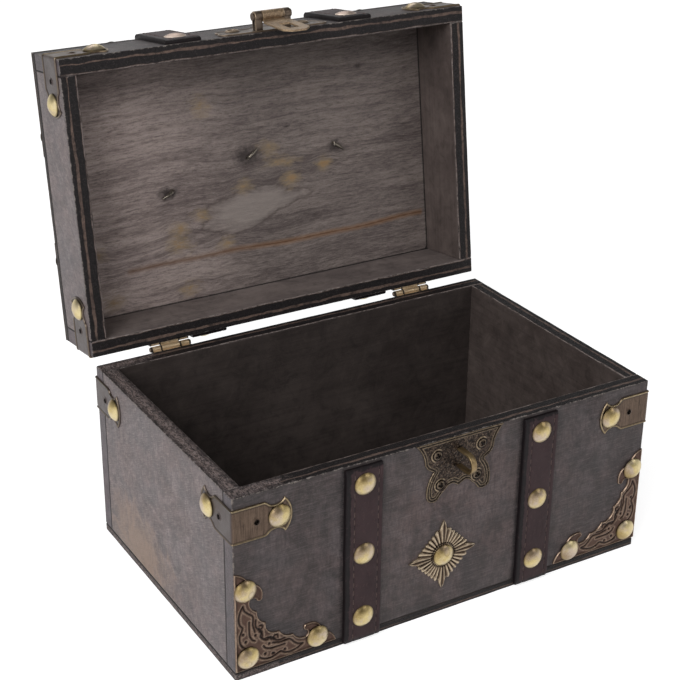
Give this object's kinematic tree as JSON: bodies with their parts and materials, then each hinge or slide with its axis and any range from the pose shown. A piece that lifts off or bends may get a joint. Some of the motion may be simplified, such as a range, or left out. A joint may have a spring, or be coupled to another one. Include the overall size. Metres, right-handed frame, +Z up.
{
  "type": "treasure chest",
  "caption": "Small stained plywood treasure chest with a hinged lid, leather straps, domed nails, corner brackets and ornaments, and a hasp over a staple.",
  "frame": {"origin": "middle of the flat underside of the case", "axes": "+Z up, front faces -Y, +X to the viewer's right; stored with the lid open"},
  "size_m": [0.227, 0.2148, 0.2429],
  "materials": {
    "stained_plywood": "dark stained plywood, satin, worn pale at the edges",
    "strap_leather": "dark maroon-brown leather, stitched along both edges",
    "dome_brass": "polished pale gold",
    "bracket_bronze": "antique bronze, brushed, bright edges",
    "ornament_copper": "antique copper, engraved",
    "medallion_bronze": "pale bronze, ribbed",
    "catch_bronze": "dark hammered bronze",
    "hasp_bronze": "worn pale bronze",
    "flap_metal": "worn champagne-grey metal",
    "hinge_brass": "plain brass"
  },
  "bodies": {
    "case": {"base_back_panel": "stained_plywood", "base_bottom_board": "stained_plywood", "base_bracket_back_left": "bracket_bronze", "base_bracket_back_right": "bracket_bronze", "base_bracket_front_left": "bracket_bronze", "base_bracket_front_right": "bracket_bronze", "base_bracket_studs": "dome_brass", "base_front_panel": "stained_plywood", "base_left_panel": "stained_plywood", "base_medallion": "medallion_bronze", "base_medallion_stud": "dome_brass", "base_ornament_left": "ornament_copper", "base_ornament_right": "ornament_copper", "base_ornament_studs": "dome_brass", "base_right_panel": "stained_plywood", "base_strap_back_left": "strap_leather", "base_strap_back_right": "strap_leather", "base_strap_front_left": "strap_leather", "base_strap_front_right": "strap_leather", "base_strap_studs": "dome_brass", "catch_plate": "catch_bronze", "catch_screws": "catch_bronze", "catch_staple": "catch_bronze", "hinge_base_leaf_left": "hinge_brass", "hinge_base_leaf_right": "hinge_brass", "hinge_base_screws": "hinge_brass", "hinge_pin_left": "hinge_brass", "hinge_pin_right": "hinge_brass"},
    "lid": {"hasp_nails": "hasp_bronze", "hasp_pin": "hasp_bronze", "hasp_plate": "hasp_bronze", "hinge_lid_leaf_left": "hinge_brass", "hinge_lid_leaf_right": "hinge_brass", "hinge_lid_screws": "hinge_brass", "lid_back_rail": "stained_plywood", "lid_bracket_back_left": "bracket_bronze", "lid_bracket_back_right": "bracket_bronze", "lid_bracket_front_left": "bracket_bronze", "lid_bracket_front_right": "bracket_bronze", "lid_bracket_studs": "dome_brass", "lid_front_rail": "stained_plywood", "lid_left_rail": "stained_plywood", "lid_medallion": "medallion_bronze", "lid_medallion_stud": "dome_brass", "lid_ornament_back_left": "ornament_copper", "lid_ornament_back_right": "ornament_copper", "lid_ornament_front_left": "ornament_copper", "lid_ornament_front_right": "ornament_copper", "lid_ornament_studs": "dome_brass", "lid_right_rail": "stained_plywood", "lid_strap_left": "strap_leather", "lid_strap_right": "strap_leather", "lid_strap_studs": "dome_brass", "lid_top_board": "stained_plywood"},
    "hasp": {"hasp_flap": "flap_metal"}
  },
  "joints": [
    {"name": "lid_hinge", "type": "hinge", "parent": "case", "child": "lid", "pos_m": [0, 0.0736, 0.09115], "axis": [1, 0, 0], "range_deg": [0, 98]},
    {"name": "hasp_hinge", "type": "hinge", "parent": "lid", "child": "hasp", "pos_m": [0.0026, 0.10148, 0.24032], "axis": [-1, 0, 0], "range_deg": [0, 165]}
  ]
}
